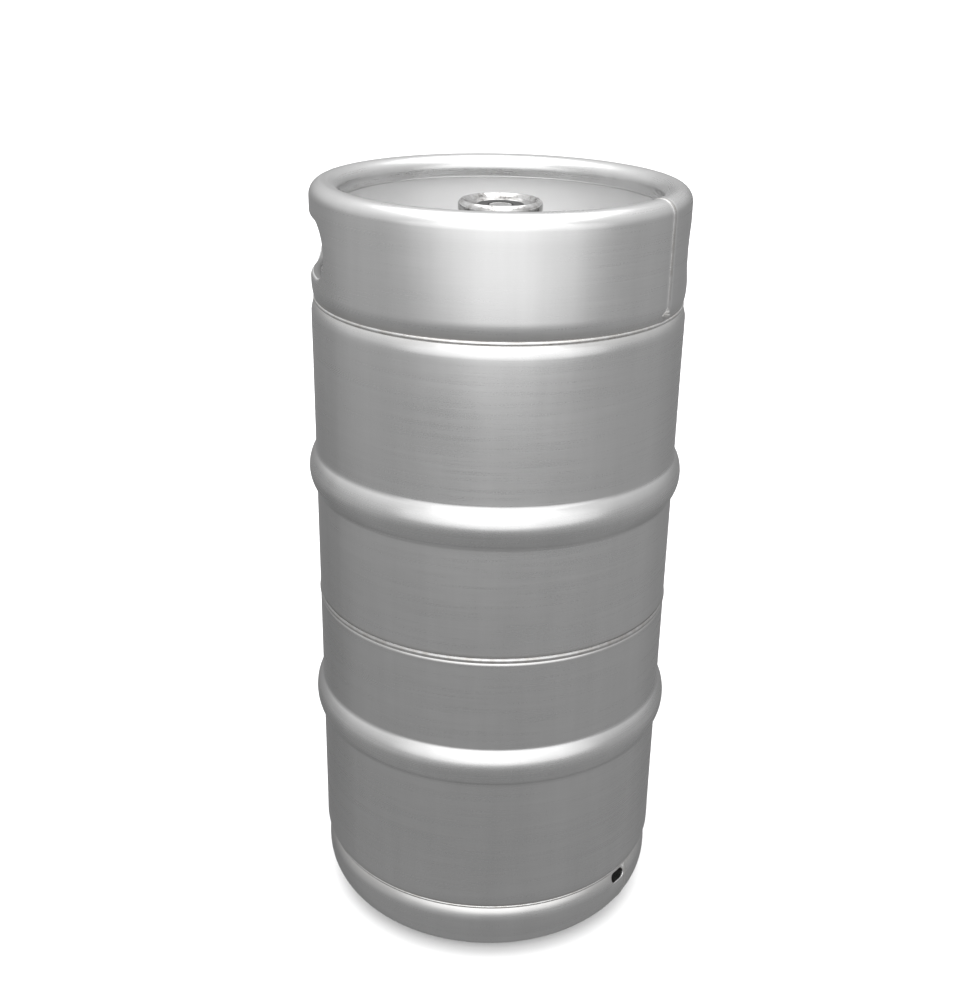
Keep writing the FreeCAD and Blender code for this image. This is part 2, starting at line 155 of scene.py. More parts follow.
def offset(points, distance):
    """The outline moved to its left by a distance, along the mean normal of its two neighbouring steps."""
    along = np.gradient(points, axis=0)
    along /= np.linalg.norm(along, axis=1)[:, None]
    return points + distance * np.stack([-along[:, 1], along[:, 0]], 1)


def sheet_outline(outside, wall):
    """A closed loop: up the outside, then back along the inside, one wall thickness to the left."""
    return np.concatenate([outside, offset(outside, wall)[::-1]])


# %% [markdown]
# ## From outline to mesh
# The outline is carried round in equal columns. Where a hand hold or a drain hole goes through the sheet, the
# cells there are left out, and a set of rings leads from the square edge of that gap down to the round-ended
# hole, through the wall, and out to the square gap on the inside. A boolean could cut the hole, but it leaves
# long thin triangles that crease a soft reflection, while rings keep the rolled lip smooth.

# %% Mesh helpers
def add_mesh(name, points, quads, triangles=()):
    """An object whose mesh has these points (millimetres) and faces, shaded smooth."""
    mesh = bpy.data.meshes.new(name)
    faces = np.asarray(quads).tolist() + np.asarray(triangles).tolist()
    mesh.from_pydata((np.asarray(points) * MM).tolist(), [], faces)
    mesh.polygons.foreach_set("use_smooth", np.ones(len(mesh.polygons), bool))
    mesh.validate()
    piece = bpy.data.objects.new(name, mesh)
    scene.collection.objects.link(piece)
    return piece


def around(radius, height, angle):
    """Points on a circle: radius times cosine and sine of the angle, at a height."""
    return np.stack([radius * np.cos(angle), radius * np.sin(angle), height + 0 * angle], -1)


def stadium_ring(s, z, centre, width, height, extra):
    """The point of a round-ended slot, grown by extra, that lies nearest to each point (s, z) round it."""
    spine = np.clip(s, -(width - height) / 2, (width - height) / 2)
    away = np.stack([s - spine, z - centre], 1)
    away /= np.linalg.norm(away, axis=1)[:, None]
    reach = height / 2 + extra
    return spine + away[:, 0] * reach, centre + away[:, 1] * reach


def edge_loop(index, low, high, left, right):
    """The vertices round a gap in the grid, between two rows and two columns."""
    columns = index.shape[1]
    step = 1 if high > low else -1
    across, up = np.arange(left, right) % columns, np.arange(low, high, step)
    return np.concatenate([
        index[low, across], index[up, right % columns],
        index[high, np.arange(right, left, -1) % columns], index[up[::-1] + step, left % columns],
    ])


def lead_through(window, points, index, keep, count):
    """Opens a window's two gaps in the grid and joins them by rings, whose points are numbered from count."""
    columns = index.shape[1]
    middle = int(round(window["angle"] / (2 * np.pi) * columns))
    left, right = middle - window["half"], middle + window["half"]
    loops = []
    for low, high in (window["outer"], window["inner"]):
        cells = np.arange(min(low, high), max(low, high))
        keep[np.ix_(cells, np.arange(left, right) % columns)] = False
        loops.append(edge_loop(index, low, high, left, right))
    edge = points[loops[0]]
    turn = np.unwrap(np.arctan2(edge[:, 1], edge[:, 0])) - window["angle"]
    along = ((turn + np.pi) % (2 * np.pi) - np.pi) * window["radius"]
    rings = []
    for extra, depth in window["rings"]:
        ring_s, ring_z = stadium_ring(along, edge[:, 2], *window["slot"], extra)
        ring_r = depth(ring_z) if callable(depth) else depth
        rings.append(around(ring_r, ring_z, window["angle"] + ring_s / window["radius"]))
    numbers = count + np.arange(len(rings) * len(edge)).reshape(len(rings), -1)
    chain = [loops[0], *numbers, loops[1]]
    quads = [np.stack([a, np.roll(a, -1), np.roll(b, -1), b], 1) for a, b in zip(chain, chain[1:])]
    return rings, quads


def close_poles(points, quads, index, poles):
    """Where the outline meets the axis, one point stands for its whole row, and quads there lose a corner."""
    merged = np.arange(len(points))
    for row in poles:
        merged[index[row]] = index[row, 0]
    quads = merged[quads]
    twice = [quads[:, k] == quads[:, (k + 1) % 4] for k in range(4)]
    whole = ~np.any(twice, axis=0)
    flat = twice[0] & twice[2]
    low = quads[twice[0] & ~flat][:, [0, 2, 3]]
    high = quads[twice[2] & ~flat][:, [0, 1, 2]]
    corners = np.concatenate([quads[whole].ravel(), low.ravel(), high.ravel()])
    used, packed = np.unique(corners, return_inverse=True)
    first = quads[whole].size
    return points[used], packed[:first].reshape(-1, 4), packed[first:].reshape(-1, 3)


def lathe(name, outline, columns, shape=None, windows=()):
    """A closed outline carried round Z. shape may move the grid; windows are holes led through the wall.

    The grid has one row for each point of the outline and one column for each step of the angle.
    """
    rows = len(outline)
    angle = np.arange(columns) * 2 * np.pi / columns
    r, z = np.repeat(outline[:, :1], columns, 1), np.repeat(outline[:, 1:], columns, 1)
    if shape is not None:
        r, z = shape(r, z, np.repeat(angle[None], rows, 0))
    points = np.stack([r * np.cos(angle), r * np.sin(angle), z], -1).reshape(-1, 3)
    index = np.arange(rows * columns).reshape(rows, columns)
    above = np.roll(index, -1, 0)
    quads = np.stack([index, np.roll(index, -1, 1), np.roll(above, -1, 1), above], -1)
    keep = np.ones((rows, columns), bool)
    rings, ring_quads = [], []
    for window in windows:
        count = len(points) + sum(map(len, rings))
        new_rings, new_quads = lead_through(window, points, index, keep, count)
        rings += new_rings
        ring_quads += new_quads
    points = np.concatenate([points] + rings)
    quads = np.concatenate([quads[keep]] + ring_quads)
    triangles = ()
    poles = [row for row in range(rows) if outline[row, 0] < 1e-6]
    if poles:
        points, quads, triangles = close_poles(points, quads, index, poles)
    return add_mesh(name, points, quads, triangles)


def finish_piece(piece, body, slot_name, *nodes):
    """Tells the frame what the piece rides on, its finish slot and the CAD solids that it stands for."""
    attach(piece, body)
    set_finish(piece, slot_name)
    if nodes:
        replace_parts(piece, *nodes)
    print(piece.name, "has", len(piece.data.polygons), "faces")
    return piece


def heading(degrees_from_front):
    """An angle counted from the front (-Y) towards +X, as the usual angle from +X in radians."""
    return math.radians(degrees_from_front - 90.0)


# %% [markdown]
# ## The two deep-drawn halves
# Each half starts as a flat disc that is drawn into a cup, and then a roller presses one rib into its wall.
# A rib could be a separate ring, but on the real keg it is the same sheet, so the rib is part of the outline:
# a broad round between two small hollow curves. Slow waves of up to a quarter of a millimetre stay in the
# wall after drawing, and they are what makes the reflection of satin steel look alive.

# %% Vessel outlines
BODY_RADIUS = 138.0
RIB_RADIUS = 143.4
SHELL_WALL = 1.5
WELD_HEIGHT = 275.0
UPPER_RIB, LOWER_RIB = 378.0, 184.0
SHOULDER_RADIUS = 16.0
UPPER_SHOULDER, LOWER_SHOULDER = 498.0, 63.6
UPPER_DOME, LOWER_DOME = 280.0, 420.0
ROOT_GAP = 1.6
NECK_RADIUS = 27.8
SUMP_RIM_RADIUS, SUMP_FLOOR_RADIUS = 26.0, 21.0
SUMP_DEPTH = 3.5


def rib(height):
    """Hollow curve, round crown and hollow curve, tangent to each other and to the wall."""
    crown, hollow = 24.0, 6.0
    lean = math.degrees(math.acos(1 - (RIB_RADIUS - BODY_RADIUS) / (crown + hollow)))
    reach = (crown + hollow) * math.sin(math.radians(lean))
    return joined(
        arc((BODY_RADIUS + hollow, height - reach), hollow, 180, 180 - lean, 9),
        arc((RIB_RADIUS - crown, height), crown, -lean, lean, 33),
        arc((BODY_RADIUS + hollow, height + reach), hollow, 180 + lean, 180, 9),
    )


def dome(radius):
    """How far the dome's centre lies behind the shoulder, and the angle at which they meet."""
    across, apart = BODY_RADIUS - SHOULDER_RADIUS, radius - SHOULDER_RADIUS
    return math.sqrt(apart ** 2 - across ** 2), math.degrees(math.acos(across / apart))


upper_behind, upper_lean = dome(UPPER_DOME)
lower_behind, lower_lean = dome(LOWER_DOME)
upper_rib, lower_rib = rib(UPPER_RIB), rib(LOWER_RIB)
neck_angle = math.degrees(math.acos(NECK_RADIUS / (UPPER_DOME - SHELL_WALL)))
upper_outside = joined(
    run((BODY_RADIUS, WELD_HEIGHT + ROOT_GAP / 2), upper_rib[0], 26),
    upper_rib,
    run(upper_rib[-1], (BODY_RADIUS, UPPER_SHOULDER), 30),
    arc((BODY_RADIUS - SHOULDER_RADIUS, UPPER_SHOULDER), SHOULDER_RADIUS, 0, upper_lean, 16),
    arc((0, UPPER_SHOULDER - upper_behind), UPPER_DOME, upper_lean, neck_angle, 40),
)
sump_angle = math.degrees(math.acos(SUMP_RIM_RADIUS / LOWER_DOME))
sump_rim = arc((0, LOWER_SHOULDER + lower_behind), LOWER_DOME, -sump_angle, -sump_angle, 1)
sump_floor = sump_rim[0, 1] - SUMP_DEPTH
lower_outside = joined(
    run((0.0, sump_floor), (SUMP_FLOOR_RADIUS, sump_floor), 6),
    arc((0, LOWER_SHOULDER + lower_behind), LOWER_DOME, -sump_angle, -lower_lean, 40),
    arc((BODY_RADIUS - SHOULDER_RADIUS, LOWER_SHOULDER), SHOULDER_RADIUS, -lower_lean, 0, 16),
    run((BODY_RADIUS, LOWER_SHOULDER), lower_rib[0], 30),
    lower_rib,
    run(lower_rib[-1], (BODY_RADIUS, WELD_HEIGHT - ROOT_GAP / 2), 20),
)
print("upper outline", len(upper_outside), "points, lower outline", len(lower_outside), "points")

# %% Vessel halves
SHELL_COLUMNS = 312
WAVE_DEPTH = 0.25
WALL_FOOT, WALL_TOP, WALL_FADE = 68, 490, 30


def drawn_waves(seed, depth):
    """A shape function: the wall moves in by depth times a few slow cosine waves of angle and height."""
    count = 7
    rng = np.random.default_rng(seed)
    turns = rng.integers(2, 9, count)
    tilt = rng.uniform(-0.03, 0.03, count)
    phase = rng.uniform(0, 2 * np.pi, count)

    def move(r, z, angle):
        waves = sum(np.cos(n * angle + t * z + p) for n, t, p in zip(turns, tilt, phase)) / count
        wall = np.clip((z - WALL_FOOT) / WALL_FADE, 0, 1) * np.clip((WALL_TOP - z) / WALL_FADE, 0, 1)
        wall = wall * (np.abs(z - WELD_HEIGHT) > 1.5)
        return r - depth * wall * (0.5 + 0.5 * waves), z

    return move


def shell(name, outside, seed):
    """One half of the vessel: its outline is closed on the inside, one wall away."""
    inside = offset(outside, SHELL_WALL)
    if outside[0, 0] == 0:
        inside[0] = (0.0, outside[0, 1] + SHELL_WALL)
    outline = np.concatenate([outside, inside[::-1]])
    return lathe(name, outline, SHELL_COLUMNS, drawn_waves(seed, WAVE_DEPTH))


finish_piece(shell("upper_half", upper_outside, 3), "keg", "satin_steel", "upper_shell")
finish_piece(shell("lower_half", lower_outside, 8), "keg", "satin_steel", "lower_shell")

# %% [markdown]
# ## The top collar
# The collar is a rolled strip, welded end to end, whose upper edge is curled inwards to a fat round rim.
# Two hand holds are punched through it and their edges are turned in, so they don't cut the fingers.
# The whole strip is one closed outline, and each hand hold is a window with a rolled lip in its grid.

# %% Collar
COLLAR_WALL = 1.8
COLLAR_RADIUS = 137.4
COLLAR_FOOT_RADIUS = 135.5
COLLAR_FOOT = 509.3
COLLAR_WAIST = 522.3
KEG_HEIGHT = 592.0
RIM_ROLL = 10.5
RIM_LEG_END = 575.0
HOLD_SLOT = (548.0, 93.0, 38.0)
HOLD_LIP = 5.0
HOLD_DEPTH = 7.4
HOLD_GAP = 47
COLLAR_COLUMNS = 672
WALL_SPAN = (523.2, 572.8)
SEAM_ANGLE = 52.0

lean_in = COLLAR_RADIUS - COLLAR_FOOT_RADIUS
foot_rise = COLLAR_WAIST - COLLAR_FOOT
foot_sweep = (lean_in ** 2 + foot_rise ** 2) / (2 * lean_in)
foot_angle = math.degrees(math.asin(foot_rise / foot_sweep))
rim_centre = (COLLAR_RADIUS - RIM_ROLL, KEG_HEIGHT - RIM_ROLL)
foot_part = arc((COLLAR_RADIUS - foot_sweep, COLLAR_WAIST), foot_sweep, -foot_angle, 0, 10)
wall_part = run((COLLAR_RADIUS, WALL_SPAN[0]), (COLLAR_RADIUS, WALL_SPAN[1]), 22)
rim_part = arc(rim_centre, RIM_ROLL, 0, 180, 34)
leg_radius = COLLAR_RADIUS - 2 * RIM_ROLL
leg_part = run((leg_radius, rim_centre[1]), (leg_radius, RIM_LEG_END), 6)
collar_outside = joined(foot_part, wall_part, rim_part, leg_part)
collar_outline = sheet_outline(collar_outside, COLLAR_WALL)
first_wall = len(foot_part)
last_wall = first_wall + len(wall_part) - 1


def lip_rings():
    """A hand hold's rings: the outer edge rolls in, a short tunnel follows, and the inner edge rolls out."""
    inner_lip = HOLD_LIP - COLLAR_WALL
    tunnel_end = COLLAR_RADIUS - HOLD_DEPTH
    rings = []
    for a in np.radians(np.linspace(0, 90, 9)):
        rings.append((HOLD_LIP * (1 - math.sin(a)), COLLAR_RADIUS - HOLD_LIP * (1 - math.cos(a))))
    rings += [(0.0, tunnel_end + 0.5), (0.15, tunnel_end + 0.15), (0.5, tunnel_end)]
    rings += [(COLLAR_WALL - 0.5, tunnel_end), (COLLAR_WALL - 0.15, tunnel_end + 0.15)]
    rings += [(COLLAR_WALL, tunnel_end + 0.5)]
    for a in np.radians(np.linspace(0, 90, 7)):
        extra = COLLAR_WALL + inner_lip * (1 - math.cos(a))
        rings.append((extra, COLLAR_RADIUS - COLLAR_WALL - inner_lip * (1 - math.sin(a))))
    return rings


def window_in(outside, first, last, **window):
    """A window from one point of a sheet's outside to another, and between their twins on its inside."""
    mirror = 2 * len(outside) - 1
    return {"outer": (first, last), "inner": (mirror - first, mirror - last), **window}


def hold_window(angle):
    """A hand hold at an angle, as a window in the collar's straight wall."""
    return window_in(
        collar_outside, first_wall, last_wall, angle=angle, half=HOLD_GAP, radius=COLLAR_RADIUS,
        slot=HOLD_SLOT, rings=lip_rings(),
    )


holds = [hold_window(0.0), hold_window(math.pi)]
collar = lathe("rolled_collar", collar_outline, COLLAR_COLUMNS, None, holds)
finish_piece(collar, "keg", "satin_steel", "top_collar")

# %% [markdown]
# ## The foot
# The bottom chime is a strip like the collar: it bulges a little, sweeps in to a flat ring that stands on the
# floor, and turns up inside. Two small drain holes, one beside the seam and one across from it, let the
# water out after washing. They are windows in the grid too, with their edges only just broken.

# %% Chime
CHIME_WALL = 2.0
CHIME_RADIUS = 136.6
CHIME_TOP_RADIUS = 133.2
CHIME_TOP = 51.5
CHIME_BELLY = 39.5
FOOT_ROLL = 36.0
FOOT_RING = 4.0
FOOT_CURL = 6.0
FOOT_CURL_END = 13.0
DRAIN_SLOT = (45.7, 17.0, 8.0)
DRAIN_ANGLE = 46.2
DRAIN_GAP = 9
CHIME_SEAM_ANGLE = 51.0

bulge = CHIME_RADIUS - CHIME_TOP_RADIUS
chime_sweep = (bulge ** 2 + (CHIME_TOP - CHIME_BELLY) ** 2) / (2 * bulge)
chime_lean = math.degrees(math.asin((CHIME_TOP - CHIME_BELLY) / chime_sweep))
ring_outer = CHIME_RADIUS - FOOT_ROLL
ring_inner = ring_outer - FOOT_RING
curl_part = joined(
    run((ring_inner - FOOT_CURL, FOOT_CURL_END), (ring_inner - FOOT_CURL, FOOT_CURL), 5),
    arc((ring_inner, FOOT_CURL), FOOT_CURL, 180, 270, 12),
    run((ring_inner, 0.0), (ring_outer, 0.0), 4),
    arc((ring_outer, FOOT_ROLL), FOOT_ROLL, -90, 0, 30),
)
belly_part = joined(
    run((CHIME_RADIUS, FOOT_ROLL), (CHIME_RADIUS, CHIME_BELLY), 2),
    arc((CHIME_RADIUS - chime_sweep, CHIME_BELLY), chime_sweep, 0, chime_lean, 21),
)
chime_outside = joined(curl_part, belly_part)
chime_outline = sheet_outline(chime_outside, CHIME_WALL)
belly_first = len(curl_part) - 3
belly_last = len(chime_outside) - 2


def chime_surface(heights):
    """Radius of the foot's outside at each height."""
    return np.interp(heights, belly_part[:, 1], belly_part[:, 0])


def drain_rings():
    """A plain punched hole with its edges just broken."""
    steps = [(0.4, 0.0), (0.1, 0.1), (0.0, 0.4), (0.0, CHIME_WALL - 0.4), (0.2, CHIME_WALL)]
    return [(extra, lambda height, depth=depth: chime_surface(height) - depth) for extra, depth in steps]


def drain_window(angle):
    """A drain hole at an angle, as a window in the belly of the foot."""
    return window_in(
        chime_outside, belly_first, belly_last, angle=angle % (2 * math.pi), half=DRAIN_GAP,
        radius=CHIME_RADIUS, slot=DRAIN_SLOT, rings=drain_rings(),
    )


drains = [drain_window(heading(DRAIN_ANGLE)), drain_window(heading(DRAIN_ANGLE + 180.0))]
chime = lathe("foot_chime", chime_outline, COLLAR_COLUMNS, None, drains)
finish_piece(chime, "keg", "satin_steel", "bottom_chime")

# %% [markdown]
# ## Welds
# A machine welds the round joints while the keg turns under the torch, so the bead is narrow and very
# even, with fine ripples where the pool froze step by step. Where the last ripple meets the first there is
# a short overlap that stands a little higher. The bead is a half-round outline whose height ripples.

# %% Weld beads
GIRTH_COLUMNS = 2400
GIRTH_RISE = 0.55
GIRTH_HALF = 2.0
GIRTH_PITCH = 1.5
GIRTH_OVERLAP = -14.0


def ripples(base, pitch, overlap_angle, depth=0.14):
    """A shape function: what stands proud of the base radius is scaled by fine ripples and one overlap."""
    turns = round(2 * np.pi * base / pitch)

    def move(r, z, angle):
        wave = 1 - depth * (0.5 + 0.5 * np.cos(angle * turns + 1.4 * (z - z.mean()) ** 2))
        near = (angle - overlap_angle + np.pi) % (2 * np.pi) - np.pi
        drift = 0.86 + 0.05 * np.sin(3 * angle) + 0.03 * np.sin(11 * angle + 1)
        lump = 0.1 * np.exp(-((near / 0.03) ** 2))
        proud = np.clip(r - base, 0, None)
        return r + proud * (wave * (drift + lump) - 1), z

    return move


def bead_outline(radius, height, crown, half, root, gap):
    """A low round crown over a square root that fills the gap between the sheets."""
    x = np.linspace(-1, 1, 17)
    top = np.stack([radius + crown * np.cos(np.pi / 2 * x) ** 2, height + half * x], 1)
    low, high = height - gap / 2, height + gap / 2
    rest = np.array([(radius, high), (radius - root, high), (radius - root, low), (radius, low)])
    return np.concatenate([top, rest])


girth_outline = bead_outline(BODY_RADIUS, WELD_HEIGHT, GIRTH_RISE, GIRTH_HALF, SHELL_WALL, ROOT_GAP)
girth_ripples = ripples(BODY_RADIUS, GIRTH_PITCH, heading(GIRTH_OVERLAP))
girth = lathe("girth_bead", girth_outline, GIRTH_COLUMNS, girth_ripples)
finish_piece(girth, "keg", "weld_steel", "girth_weld")


# %% [markdown]
# ## Lengthwise seams
# The collar and the foot are strips joined end to end, so each has one upright seam that follows the sheet's
# outside, over the rolled rim too. The bead is a strip on a grid: one direction follows the sheet's
# outline, the other crosses the bead and lifts it to a low round. Fine ripples cross it, and on the collar
# the last pool leaves a dented lump.

# %% Seam beads
BEAD_COLUMNS = 11
BEAD_HALF = 2.2
BEAD_RISE = 0.39
BEAD_ROOT = 0.15
BEAD_STEP = 0.35
RIPPLE_PITCH = 1.9
LUMP_HEIGHT = COLLAR_FOOT + 4.8
LUMP_RISE = 2.3
LUMP_REACH = 2.9
LUMP_SPREAD = 4.4


def bead_shape(fine, z, across, lump):
    """How far each point of a bead stands proud, and how far it lies to the side of the seam."""
    length = fine[-1]
    ripple = 0.84 + 0.16 * np.cos(fine * 2 * np.pi / RIPPLE_PITCH - 1.6 * across ** 2)
    ends = np.clip(fine / 1.5, 0, 1) * np.clip((length - fine) / 1.5, 0, 1)
    height = BEAD_RISE * (1 - across ** 2) * ripple * ends
    side = BEAD_HALF * across + (0.12 * np.sin(fine * 0.31) + 0.08 * np.sin(fine * 0.83 + 1))
    if lump:
        near = np.exp(-((z - LUMP_HEIGHT) / LUMP_REACH) ** 2)
        dents = 0.75 + 0.25 * np.sin(2.9 * z + 1.7 * across) * np.cos(2.6 * across + z)
        height = height + LUMP_RISE * near * dents * np.cos(np.pi / 2 * across) ** 2
        side = side + LUMP_SPREAD * near * (across - 0.3)
    return height, side


def end_cap(row, flip):
    """Quads that close a bead's end: each joins a pair of points on top to the pair below it."""
    half = len(row) // 2
    top, under = row[:half], row[half:][::-1]
    cap = np.stack([top[:-1], top[1:], under[1:], under[:-1]], 1)
    return cap[:, ::-1] if flip else cap


def seam_strip(name, outline, degrees, lump=False):
    """A bead on a sheet's outside: its height is BEAD_RISE times (1 - across ** 2), rippled along it."""
    length = np.concatenate([[0], np.cumsum(np.linalg.norm(np.diff(outline, axis=0), axis=1))])
    fine = np.linspace(0, length[-1], int(length[-1] / BEAD_STEP))
    r, z = np.interp(fine, length, outline[:, 0]), np.interp(fine, length, outline[:, 1])
    along = np.gradient(np.stack([r, z], 1), axis=0)
    along /= np.linalg.norm(along, axis=1)[:, None]
    across = np.linspace(-1, 1, BEAD_COLUMNS)[None]
    height, side = bead_shape(fine[:, None], z[:, None], across, lump)
    levels = np.concatenate([height, np.full_like(height, -BEAD_ROOT)[:, ::-1]], 1)
    ring_r = r[:, None] + along[:, 1:] * levels
    ring_z = z[:, None] - along[:, :1] * levels
    angle = heading(degrees) + np.concatenate([side, side[:, ::-1]], 1) / COLLAR_RADIUS
    points = np.stack([ring_r * np.cos(angle), ring_r * np.sin(angle), ring_z], -1)
    index = np.arange(ring_r.size).reshape(ring_r.shape)
    here, after = index[:-1], index[1:]
    quads = np.stack([here, np.roll(here, -1, 1), np.roll(after, -1, 1), after], -1).reshape(-1, 4)
    quads = np.concatenate([quads, end_cap(index[0], True), end_cap(index[-1], False)])
    return add_mesh(name, points.reshape(-1, 3), quads)


collar_seam_path = collar_outside[collar_outside[:, 1] > COLLAR_FOOT + 1.2]
collar_seam = seam_strip("collar_seam", collar_seam_path, SEAM_ANGLE, lump=True)
finish_piece(collar_seam, "keg", "weld_steel", "collar_seam_weld")

chime_r, chime_z = chime_outside.T
on_outside = (chime_z > 8.8) & (chime_z < CHIME_TOP - 0.8) & (chime_r > ring_outer)
chime_seam = seam_strip("chime_seam", chime_outside[on_outside], CHIME_SEAM_ANGLE)
finish_piece(chime_seam, "keg", "weld_steel", "chime_seam_weld")


# %% [markdown]
# ## Finishes: the tools
# A finish is a small network of nodes. Written as plain sums it stays readable, so one class wraps a socket
# and turns Python's operators into Math nodes, and one function makes every other node.

# %% Shader maths
class Network:
    """A tree of nodes, and the one method that adds a node of any kind to it."""

    def __init__(self, tree):
        self.tree = tree

    def feed(self, socket, item):
        """Links a value or another socket to a socket, or writes a plain number, vector or colour in it."""
        if isinstance(item, Value):
            self.tree.links.new(item.socket, socket)
        elif isinstance(item, bpy.types.NodeSocket):
            self.tree.links.new(item, socket)
        else:
            socket.default_value = item

    def make(self, kind, settings=None, *first, **named):
        """Any node: its settings, then its first inputs in order, then inputs by name, with _ for a space."""
        node = self.tree.nodes.new(kind)
        for key, value in (settings or {}).items():
            setattr(node, key, value)
        for socket, item in zip(node.inputs, first):
            self.feed(socket, item)
        for key, item in named.items():
            self.feed(node.inputs[key.replace("_", " ")], item)
        return node


class Value:
    """A number that varies over a surface. Adding, multiplying and so on make the Math nodes for it."""

    def __init__(self, network, socket):
        self.network, self.socket = network, socket

    def maths(self, operation, *items):
        node = self.network.make("ShaderNodeMath", {"operation": operation}, *items)
        return Value(self.network, node.outputs[0])

    def __add__(self, other):
        return self.maths("ADD", self, other)

    def __radd__(self, other):
        return self.maths("ADD", other, self)

    def __sub__(self, other):
        return self.maths("SUBTRACT", self, other)

    def __rsub__(self, other):
        return self.maths("SUBTRACT", other, self)

    def __mul__(self, other):
        return self.maths("MULTIPLY", self, other)

    def __rmul__(self, other):
        return self.maths("MULTIPLY", other, self)

    def root(self):
        return self.maths("SQRT", self)

    def sine(self):
        return self.maths("SINE", self)

    def size(self):
        return self.maths("ABSOLUTE", self)

    def between(self, low, high):
        """0 below low, 1 above high, smooth between."""
        node = self.network.make("ShaderNodeMapRange", {"interpolation_type": "SMOOTHSTEP"}, self, low, high)
        return Value(self.network, node.outputs["Result"])


class Finish(Network):
    """One material being made: its node tree, its shader and the place on the object."""

    def __init__(self, name, metallic, roughness, colour):
        self.material = bpy.data.materials.new(name)
        self.material.use_nodes = True
        super().__init__(self.material.node_tree)
        self.shader = self.tree.nodes["Principled BSDF"]
        self.shader.inputs["Metallic"].default_value = metallic
        self.shader.inputs["Roughness"].default_value = roughness
        self.shader.inputs["Base Color"].default_value = (*colour, 1.0)
        self.place = self.make("ShaderNodeTexCoord").outputs["Object"]

    def noise(self, stretch, detail=3.0, rough=0.55, seed=0.0):
        """Noise from 0 to 1. stretch is how many grains there are to a metre along X, Y and Z."""
        shift = (seed, seed * 0.7, seed * 0.3)
        moved = self.make("ShaderNodeMapping", Vector=self.place, Location=shift, Scale=stretch).outputs[0]
        grains = self.make("ShaderNodeTexNoise", Vector=moved, Scale=1.0, Detail=detail, Roughness=rough)
        return Value(self, grains.outputs["Fac"])

    def axes(self):
        """The place on the object as three values, and how far it is from the keg's axis."""
        x, y, z = [Value(self, out) for out in self.make("ShaderNodeSeparateXYZ", None, self.place).outputs]
        return x, y, z, (x * x + y * y).root()

    def mix(self, share, first, second):
        """A colour between two, by a share from 0 to 1."""
        node = self.make("ShaderNodeMix", {"data_type": "RGBA"}, share)
        self.feed(node.inputs[6], first)
        self.feed(node.inputs[7], second)
        return node.outputs[2]

    def bump(self, height, distance, under=None):
        """A normal from a height of 0 to 1 over a distance in metres, laid over another if one is given."""
        node = self.make("ShaderNodeBump", Strength=1.0, Distance=distance, Height=height)
        if under is not None:
            self.feed(node.inputs["Normal"], under)
        return node.outputs["Normal"]

    def set(self, **inputs):
        """Feeds the shader's own inputs and gives the material back."""
        for key, item in inputs.items():
            self.feed(self.shader.inputs[key.replace("_", " ")], item)
        return self.material


def grey(tone, red=1.0, green=1.0, blue=1.0):
    """A grey as a colour, with each channel scaled if it should lean to a tint."""
    return (tone * red, tone * green, tone * blue, 1.0)


# %% [markdown]
# ## Satin steel
# Kegs are brushed while they spin, so the fine lines run round the axis: noise that is stretched along X and
# Y and packed tight along Z gives them with no seam. Handling leaves faint upright streaks and soft
# blotches, and the ribs, which roll along the floor, are rubbed brighter and smoother. Inside the collar the
# steel is left rougher, and its colour is painted paler as painted brightness for the light in that recess.
# The hand holds' turned-in lips are painted darker as painted shade, where the hold shades them, and a
# paler band runs beside the collar's seam bead.

# %% Satin steel material
def bright_inside_shaded_lip_band(finish):
    """Shares from 0 to 1: the inside (rougher, painted pale), the lips (painted shade), the band by the seam.
    """
    x, y, z, radius = finish.axes()
    # Painted shade: the hand holds' turned-in lips, whose colour is darkened where shade falls in the hold.
    shaded_lip = radius.between(0.126, 0.129) * (1 - radius.between(0.1352, 0.1356))
    shaded_lip = shaded_lip * z.between(0.522, 0.526) * (1 - z.between(0.570, 0.573))
    # The collar's inside: rougher, and its colour painted paler as painted brightness for light in the
    # recess.
    dull_inside_painted_bright = (1 - radius.between(0.1356, 0.1366)) * z.between(0.512, 0.524) * (1 - z.between(0.573, 0.577))
    # A paler band of colour beside the collar's seam bead.
    seam_x, seam_y = math.cos(heading(SEAM_ANGLE)), math.sin(heading(SEAM_ANGLE))
    beside = (y * seam_x - x * seam_y).size()
    towards = x * seam_x + y * seam_y
    pale_seam_band = (1 - beside.between(0.0025, 0.006)) * towards.between(0.10, 0.12) * z.between(0.512, 0.516)
    return dull_inside_painted_bright * (1 - shaded_lip), shaded_lip, pale_seam_band


